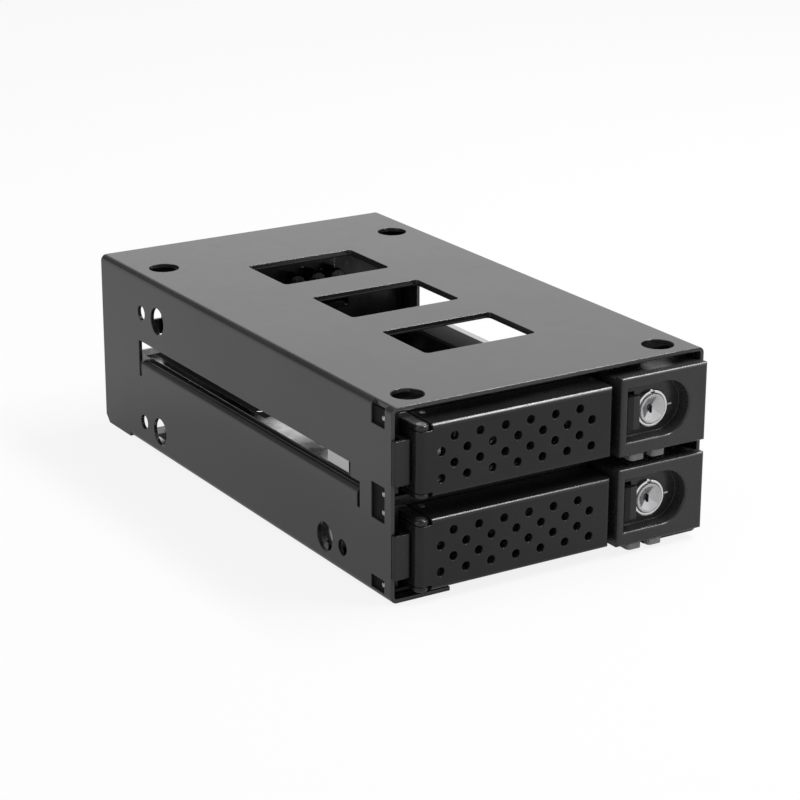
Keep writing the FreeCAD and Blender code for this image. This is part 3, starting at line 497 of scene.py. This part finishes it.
capLook = dict(rim=0.5, lip=0.66, groove=0.25, grooveStart=0.5, grooveLength=0.9, topDrop=0.15,
               endGap=0.02, endDrop=0.04, endDome=0.06, endDepth=0.4,
               scoreDepth=0.08, scoreWidth=0.12, scoreStart=0.05)


def capBody(radius, length, look):
    # turned sleeve: a half sine for the groove near the board, a quarter circle for the rim at the end
    t = np.linspace(0, np.pi / 2, 6)
    curl = np.stack([radius - look["rim"] * (1 - np.cos(t)), length - look["rim"] * (1 - np.sin(t))], -1)
    dip = np.linspace(0, np.pi, 9)
    neck = np.stack([radius - look["groove"] * np.sin(dip),
                     look["grooveStart"] + look["grooveLength"] * dip / np.pi], -1)
    lip = radius * look["lip"]
    end = [(lip, length), (lip, length - look["topDrop"]), (0, length - look["topDrop"])]
    return turned(np.vstack([[(0, 0), (radius, 0)], neck, curl, end]), 40)


def capEnd(radius, length, look):
    # end of the can: height falls with the square of the radius, and a cross is scored along two diameters
    lip = radius * look["lip"] - look["endGap"]
    reach = np.linspace(0, lip, 12)
    top = length - look["endDrop"] - look["endDome"] * (reach / lip) ** 2
    foot = length - look["endDepth"]
    profile = np.vstack([np.stack([reach, top], -1), [(lip, foot), (0, foot)]])
    onTop = np.concatenate([np.ones(len(reach)), np.zeros(2)])[:, None]

    def score(r, angle):
        off = r * np.minimum(np.abs(np.sin(angle)), np.abs(np.cos(angle)))
        line = np.clip(1 - off / look["scoreWidth"], 0, 1) * (r > look["scoreStart"])
        return -look["scoreDepth"] * onTop * line
    return turned(profile, 48, score)


def solderDome(radius, height, root=0.05):
    # fillet of solder: height falls with a squared cosine from the tip to the pad
    reach = np.linspace(0, radius, 7)
    rise = height * np.cos(reach / radius * np.pi / 2) ** 2
    return turned(np.vstack([np.stack([reach, rise], -1), [(radius, -root), (0, -root)]]), 16)


def domeRivet(look):
    # quarter ellipse, turned, over a short stem
    radius, height, stem = (look[key] for key in ("radius", "height", "stem"))
    t = np.linspace(0, np.pi / 2, 8)
    dome = np.stack([radius * np.sin(t), height * np.cos(t)], -1)
    return turned(np.vstack([dome, [(radius, -stem), (0, -stem)]]), 28)


springLook = dict(wire=0.44, turns=6, closed=0.16, taper=14, tip=0.02)


def coilSpring(length, outer, look):
    # helix whose advance slows at both ends, so that the end coils lie closed; the wire tapers to its tips
    wire, turns = look["wire"], look["turns"]
    radius = outer - wire / 2
    u = np.linspace(0, 1, turns * 28 + 1)
    advance = u - look["closed"] * np.sin(2 * np.pi * u) / np.pi
    angle = 2 * np.pi * turns * u
    height = wire / 2 + (length - wire) * advance
    path = np.stack([radius * np.cos(angle), radius * np.sin(angle), height], -1)
    side = np.stack([np.cos(angle), np.sin(angle), 0 * angle], -1)
    taper = np.clip(np.minimum(u, 1 - u) * turns * look["taper"], look["tip"], 1) ** 0.5
    rings = tubeRings(path, side, wire / 2 * taper, 12)
    return closedRings(rings, path[0], path[-1])


def windowHem(low, high, corner, radius):
    # bead along a round-cornered rectangle: quarter circles joined by straight runs
    t = np.linspace(0, np.pi / 2, 9)
    turn = np.concatenate([t + quarter * np.pi / 2 for quarter in range(4)])
    side = np.stack([np.cos(turn), np.sin(turn), 0 * turn], -1)
    middle = (np.array(low) + np.array(high)) / 2
    half = (np.array(high) - np.array(low)) / 2 - corner
    signs = np.repeat([(1, 1), (-1, 1), (-1, -1), (1, -1)], len(t), axis=0)
    path = np.zeros((len(turn), 3))
    path[:, :2] = middle[:2] + signs * half[:2] + corner * side[:, :2]
    path[:, 2] = middle[2]
    angle = np.linspace(0, 2 * np.pi, 10, endpoint=False)[None, :, None]
    upright = np.array([0, 0, 1.0])
    return loopedRings(path[:, None] + radius * (np.cos(angle) * side[:, None] + np.sin(angle) * upright))


# locks, springs, screws and pin dots of each bay
pinLook = dict(inset=7.9, back=2.0, radius=1.0, height=0.3, stem=0.1)
tickLook = dict(gap=0.4, size=(1.6, 0.5, 0.4))
housingScrew = dict(head=2.5, height=1.8, shank=1.3, length=7.0, dome=0.7)
panScrew = dict(head=2.3, height=0.0, shank=1.25, length=3.2, dome=0.0)
for bay in bays:
    tray = bay + "_tray"
    low, high = boxOf(bay + "_lock_bezel")
    centre = (low + high) / 2
    ringPart = stood(lockRing(low, high, ringLook), (0, -1, 0), (centre[0], high[1], centre[2]))
    addPiece(bay + "_lockRing", [ringPart], "brightChrome", tray, [bay + "_lock_bezel"])
    barrelLow, barrelHigh = boxOf(bay + "_lock_barrel")
    barrelFront = barrelLow[1]
    barrelSize = (barrelHigh - barrelLow)[:2]
    barrel = lockBarrel(barrelSize[0] / 2, barrelSize[1], barrelLook)
    barrel = stood(barrel, (0, -1, 0), (centre[0], barrelFront, centre[2]))
    addPiece(bay + "_lockBarrel", [barrel], "cutChrome", bay + "_lock", [bay + "_lock_barrel"])
    # key slot: a black soft block sunk in the dish, painted shade standing in for the dark keyway
    keyPlace = (centre[0], barrelFront + keyLook["sunk"], centre[2] - keyLook["low"])
    key = stood(softBox(keyLook["size"]), (0, -1, 0), keyPlace)
    addPiece(bay + "_keySlotShade", [key], "stripPlastic", bay + "_lock")
    reach = (high[0] - low[0]) / 2 + tickLook["gap"] + tickLook["size"][0] / 2
    tick = stood(softBox(tickLook["size"]), (0, -1, 0), (centre[0] + reach, high[1], centre[2]))
    addPiece(bay + "_lockTick", [tick], "paleSocket", tray)
    leverLow, leverHigh = boxOf(bay + "_lever")
    dotPlace = (leverLow[0] + pinLook["inset"], leverHigh[1] - pinLook["back"], leverHigh[2])
    addPiece(bay + "_leverDot", [stood(domeRivet(pinLook), (0, 0, 1), dotPlace)],
             "plateSteel", bay + "_handle")
    low, high = boxOf(bay + "_latch_spring")
    coil = coilSpring(high[0] - low[0], (high[2] - low[2]) / 2, springLook)
    coil = stood(coil, (1, 0, 0), (low[0], (low[1] + high[1]) / 2, (low[2] + high[2]) / 2))
    springBody = nodes[bay + "_latch_spring"]["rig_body"]
    addPiece(bay + "_coilSpring", [coil], "plateSteel", springBody, [bay + "_latch_spring"])
    seat = boxOf(bay + "_housing_screws")[1][1] - housingScrew["height"]
    heads = [stood(screw(housingScrew, screwLook), (0, 1, 0), (p[0], seat, p[2]))
             for p in middlesOf(bay + "_housing_screws", 0, 2)]
    addPiece(bay + "_housingScrews", heads, "plateSteel", tray, [bay + "_housing_screws"])
    side = boxOf(bay + "_pan_screws")[1][0]
    heads = [stood(screw(panScrew, screwLook), (np.sign(p[0]), 0, 0), (np.sign(p[0]) * side, p[1], p[2]))
             for p in middlesOf(bay + "_pan_screws", 0, 2)]
    addPiece(bay + "_panScrews", heads, "plateSteel", tray, [bay + "_pan_screws"])
print("bay pieces made")

# rivets, board screws, capacitors, contacts, solder and window hems of the case
rivetLook = dict(radius=0.8, height=0.3, stem=0.9)
side = boxOf("strip_rivets")[1][0] - rivetLook["height"]
rivets = [stood(domeRivet(rivetLook), (np.sign(p[0]), 0, 0), (np.sign(p[0]) * side, p[1], p[2]))
          for p in middlesOf("strip_rivets", 0, 2)]
addPiece("domeRivets", rivets, "brightChrome", "case", ["strip_rivets"])
boardScrew = dict(head=2.75, height=1.8, shank=1.5, length=2.8, dome=0.8)
seat = boxOf("board_screws")[0][1] + boardScrew["height"]
heads = [stood(screw(boardScrew, screwLook), (0, -1, 0), (p[0], seat, p[2]))
         for p in middlesOf("board_screws", 0, 2)]
addPiece("boardScrews", heads, "plateSteel", "case", ["board_screws"])
low, high = boxOf("board_capacitors")
cans = [(p[0], high[1], p[2]) for p in middlesOf("board_capacitors", 0, 2)]
canRadius = (high[2] - low[2]) / 2
canLength = high[1] - low[1]
sleeves = [stood(capBody(canRadius, canLength, capLook), (0, -1, 0), p) for p in cans]
addPiece("capSleeves", sleeves, "sleeveFilm", "case", ["board_capacitors"])
addPiece("capEnds", [stood(capEnd(canRadius, canLength, capLook), (0, -1, 0), p) for p in cans],
         "sleeveFilm", "case")

# contacts side by side: a soft-edged blade each, and a solder dome on the board, stepped up and down in turn
contactLook = dict(pitch=1.27, solder=(0.5, 0.7), zigzag=0.9)
driveContacts = dict(blade=(0.62, 3.4, 0.3), counts=(7, 15), shares=(0.21, 0.69), setback=0.5, drop=0.6)
dataContacts = dict(blade=(0.62, 5.2, 0.3), count=7, back=4.0, drop=0.55, gap=3.0)
boardLow, boardHigh = boxOf("backplane_board")
blades = []
joints = []


def contactRow(middle, count, look, board, towards):
    for index in range(count):
        x = middle[0] + (index - (count - 1) / 2) * contactLook["pitch"]
        rise = contactLook["zigzag"] * (-1) ** index
        blade = softBox(look["blade"], rows=7, columns=16)
        blades.append(stood(blade, (0, 0, 1), (x, middle[1], middle[2] - look["drop"])))
        joints.append(stood(solderDome(*contactLook["solder"]), towards, (x, board, middle[2] + rise)))


for bay in bays:
    low, high = boxOf(bay + "_drive_connector")
    y = low[1] + driveContacts["setback"] + driveContacts["blade"][1] / 2
    z = (low[2] + high[2]) / 2
    for count, share in zip(driveContacts["counts"], driveContacts["shares"]):
        x = low[0] + share * (high[0] - low[0])
        contactRow((x, y, z), count, driveContacts, boardHigh[1], (0, 1, 0))
y = boxOf("data_connectors")[1][1] - dataContacts["back"]
for place in middlesOf("data_connectors", 0, 2, dataContacts["gap"]):
    contactRow((place[0], y, place[2]), dataContacts["count"], dataContacts, boardLow[1], (0, -1, 0))
addPiece("goldContacts", blades, "goldPlate", "case")
addPiece("solderJoints", joints, "solderTin", "case")

# bright test points above the capacitors, as (x, height, radius)
dotLook = dict(rise=0.7, dots=((12.8, 48.8, 0.7), (20.3, 49.9, 0.5), (20.3, 46.9, 0.4),
                               (25.5, 49.4, 0.9), (25.5, 47.2, 0.8)))
dots = [stood(solderDome(radius, radius * dotLook["rise"]), (0, -1, 0), (x, boardLow[1], z))
        for x, z, radius in dotLook["dots"]]
addPiece("testPoints", dots, "brightChrome", "case")


def gasketStrip(path, look):
    # soft-cornered rectangle, signed powers of cosine and sine, carried along a path in the board's plane
    along = np.gradient(path, axis=0)
    along /= np.linalg.norm(along, axis=1, keepdims=True)
    depth = np.array([0, 1.0, 0])
    across = np.cross(along, depth)
    t = np.linspace(0, 2 * np.pi, 20, endpoint=False)[None, :, None]
    wide = signed(np.cos(t), look["power"]) * across[:, None] * look["wide"] / 2
    deep = signed(np.sin(t), look["power"]) * depth * look["deep"] / 2
    return closedRings(path[:, None] + wide + deep, path[0], path[-1])


# foam strip that closes the gap over the board and beside its right end
foamLook = dict(left=-47.2, wide=2.6, deep=2.4, power=0.3, corner=2.2,
                roofGap=1.25, sideGap=0.1, back=1.3, foot=1.0)
shellLow, shellHigh = boxOf("case_shell")
roof = shellHigh[2] - foamLook["roofGap"] - foamLook["wide"] / 2
wall = boxOf("right_guide_strip")[1][0] - foamLook["sideGap"] - foamLook["wide"] / 2
t = np.linspace(0, np.pi / 2, 9)
bendSide = wall - foamLook["corner"] * (1 - np.sin(t))
bendRise = roof - foamLook["corner"] * (1 - np.cos(t))
bend = np.stack([bendSide, 0 * t, bendRise], -1)
run = np.linspace((foamLook["left"], 0, roof), bend[0], 12)[:-1]
drop = np.linspace(bend[-1], (wall, 0, boardLow[2] + foamLook["foot"]), 8)[1:]
foamPath = np.vstack([run, bend, drop])
foamPath[:, 1] = boardHigh[1] - foamLook["back"]
addPiece("boardFoam", [gasketStrip(foamPath, foamLook)], "stripPlastic", "case")

# strips bent as the left bracket is: one makes it taller, and a black tab on the wall stands above it
stripLook = dict(sheet=1.2, bracketTop=28.5, tabLow=33.3, tabHigh=38.5)


def bentStrip(low, high, foot, top, sheet):
    # L-shaped profile carried straight up, its ends fanned from the inner corner
    left, front = low[:2]
    right, back = high[:2]
    innerLeft, innerFront = left + sheet, front + sheet
    profile = np.array([(left, front), (right, front), (right, innerFront),
                        (innerLeft, innerFront), (innerLeft, back), (left, back)])
    rings = np.zeros((4, 6, 3))
    rings[..., :2] = profile
    rings[..., 2] = np.linspace(foot, top, 4)[:, None]
    heart = (left + sheet / 2, front + sheet / 2)
    return closedRings(rings, (*heart, foot), (*heart, top))


low, high = boxOf("left_board_bracket")
rise = bentStrip(low, high, high[2], stripLook["bracketTop"], stripLook["sheet"])
addPiece("bracketRise", [rise], "plateSteel", "case")
tab = bentStrip(low, high, stripLook["tabLow"], stripLook["tabHigh"], stripLook["sheet"])
addPiece("wallTab", [tab], "powderCoat", "case")

# beads round the undersides of the top windows
hemLook = dict(count=3, width=39.6, length=25.6, pitch=42.3, start=37.2, corner=1.5, drop=1.55, bead=0.32)
level = shellHigh[2] - hemLook["drop"]
half = hemLook["width"] / 2
hems = []
for index in range(hemLook["count"]):
    front = shellLow[1] + hemLook["start"] + index * hemLook["pitch"]
    back = front + hemLook["length"]
    hems.append(windowHem((-half, front, level), (half, back, level), hemLook["corner"], hemLook["bead"]))
addPiece("windowHems", hems, "stripPlastic", "case")
print("case pieces made")


# pale floor that the camera sees as nearly white, with a soft shadow left in it; mirrors see it more evenly
floorLook = dict(size=6.0, drop=0.0003, grey=0.55, white=0.86, mirrorGrey=0.25, mirrorWhite=0.4)
floorMesh = bpy.data.meshes.new("floor")
half = floorLook["size"] / 2
corners = [(-half, -half, 0), (half, -half, 0), (half, half, 0), (-half, half, 0)]
floorMesh.from_pydata(corners, [], [(0, 1, 2, 3)])
floor = bpy.data.objects.new("floor", floorMesh)
scene.collection.objects.link(floor)
floor.location.z = -floorLook["drop"]
floorMat = bpy.data.materials.new("floorPale")
floorMat.use_nodes = True
tree = floorMat.node_tree
tree.nodes.clear()
out = tree.nodes.new("ShaderNodeOutputMaterial")
pale = tree.nodes.new("ShaderNodeBsdfDiffuse")
glow = addNode(tree, "ShaderNodeEmission", Color=(1, 1, 1, 1), Strength=1.0)
rays = tree.nodes.new("ShaderNodeLightPath").outputs
greys = [(floorLook[key],) * 3 for key in ("grey", "mirrorGrey")]
tree.links.new(mixColour(tree, rays["Is Glossy Ray"], *greys), pale.inputs["Color"])
seen = mapRange(tree, rays["Is Camera Ray"], 0.0, 1.0, 0.0, floorLook["white"])
mirrored = mapRange(tree, rays["Is Glossy Ray"], 0.0, 1.0, 0.0, floorLook["mirrorWhite"])
mix = tree.nodes.new("ShaderNodeMixShader")
tree.links.new(mathNode(tree, "MAXIMUM", seen, mirrored), mix.inputs["Fac"])
tree.links.new(pale.outputs["BSDF"], mix.inputs[1])
tree.links.new(glow.outputs["Emission"], mix.inputs[2])
tree.links.new(mix.outputs["Shader"], out.inputs["Surface"])
floorMesh.materials.append(floorMat)

# world: white to the camera, and to mirrors low down and to the right; softer as light and dim overhead
worldLook = dict(light=0.55, white=1.0, overhead=0.18, lean=(-0.45, 0.0, 0.9), fadeFrom=0.22, fadeTo=0.36)
world = bpy.data.worlds.new("studio")
scene.world = world
world.use_nodes = True
tree = world.node_tree
tree.nodes.clear()
out = tree.nodes.new("ShaderNodeOutputWorld")
lit = addNode(tree, "ShaderNodeBackground", Color=(1, 1, 1, 1), Strength=worldLook["light"])
white = addNode(tree, "ShaderNodeBackground", Color=(1, 1, 1, 1), Strength=worldLook["white"])
rays = tree.nodes.new("ShaderNodeLightPath").outputs
mirrored = mathNode(tree, "MAXIMUM", rays["Is Glossy Ray"], rays["Is Transmission Ray"])
seen = mathNode(tree, "MAXIMUM", rays["Is Camera Ray"], mirrored)
mix = tree.nodes.new("ShaderNodeMixShader")
tree.links.new(seen, mix.inputs["Fac"])
tree.links.new(lit.outputs["Background"], mix.inputs[1])
tree.links.new(white.outputs["Background"], mix.inputs[2])
tree.links.new(mix.outputs["Shader"], out.inputs["Surface"])
upwards = tree.nodes.new("ShaderNodeVectorMath")
upwards.operation = "DOT_PRODUCT"
upwards.inputs[1].default_value = worldLook["lean"]
tree.links.new(tree.nodes.new("ShaderNodeTexCoord").outputs["Generated"], upwards.inputs[0])
fade = mapRange(tree, upwards.outputs["Value"], worldLook["fadeFrom"], worldLook["fadeTo"],
                worldLook["white"], worldLook["overhead"])
tree.links.new(fade, white.inputs["Strength"])


def softLamp(name, place, target, size, power):
    lamp = bpy.data.lights.new(name, "AREA")
    lamp.shape = "RECTANGLE"
    lamp.size, lamp.size_y = size
    lamp.energy = power
    obj = bpy.data.objects.new(name, lamp)
    scene.collection.objects.link(obj)
    obj.location = place
    obj.rotation_euler = (Vector(target) - Vector(place)).to_track_quat("-Z", "Y").to_euler()


# lamps as name, place, target, size and power
lamps = [
    ("keySoft", (0.55, -0.15, 0.95), (0, 0, 0), (0.9, 0.14), 14.0),
    ("topSoft", (-0.1, 0.1, 1.1), (0, 0, 0), (0.9, 0.9), 2.0),
    ("leftSoft", (-1.2, -0.2, 0.5), (0, 0, 0.03), (0.9, 0.9), 4.0),
    ("frontSoft", (0.58, -0.55, 0.92), (0, -0.09, 0.03), (0.35, 0.5), 2.4),
]
for lampSpec in lamps:
    softLamp(*lampSpec)

# camera: the photograph's own place, from a fit of the case's edges and holes
view = dict(azimuth=-32.025, elevation=18.937, roll=0.20, place=(-0.4020, -0.6494, 0.2875), lens=113.15,
            sensor=36.0, nearest=0.01)
azimuth, elevation, roll = (math.radians(view[key]) for key in ("azimuth", "elevation", "roll"))
level = math.cos(elevation)
back = Vector((math.sin(azimuth) * level, -math.cos(azimuth) * level, math.sin(elevation)))
right = (-back).cross(Vector((0, 0, 1))).normalized()
up = right.cross(-back)
rolledRight = math.cos(roll) * right + math.sin(roll) * up
rolledUp = -math.sin(roll) * right + math.cos(roll) * up
camData = bpy.data.cameras.new("camera")
camData.lens = view["lens"]
camData.sensor_width = view["sensor"]
camData.clip_start = view["nearest"]
camera = bpy.data.objects.new("camera", camData)
scene.collection.objects.link(camera)
turn = Matrix((rolledRight, rolledUp, back)).transposed().to_4x4()
camera.matrix_world = Matrix.Translation(view["place"]) @ turn
scene.camera = camera
print("stage, lamps and camera set")
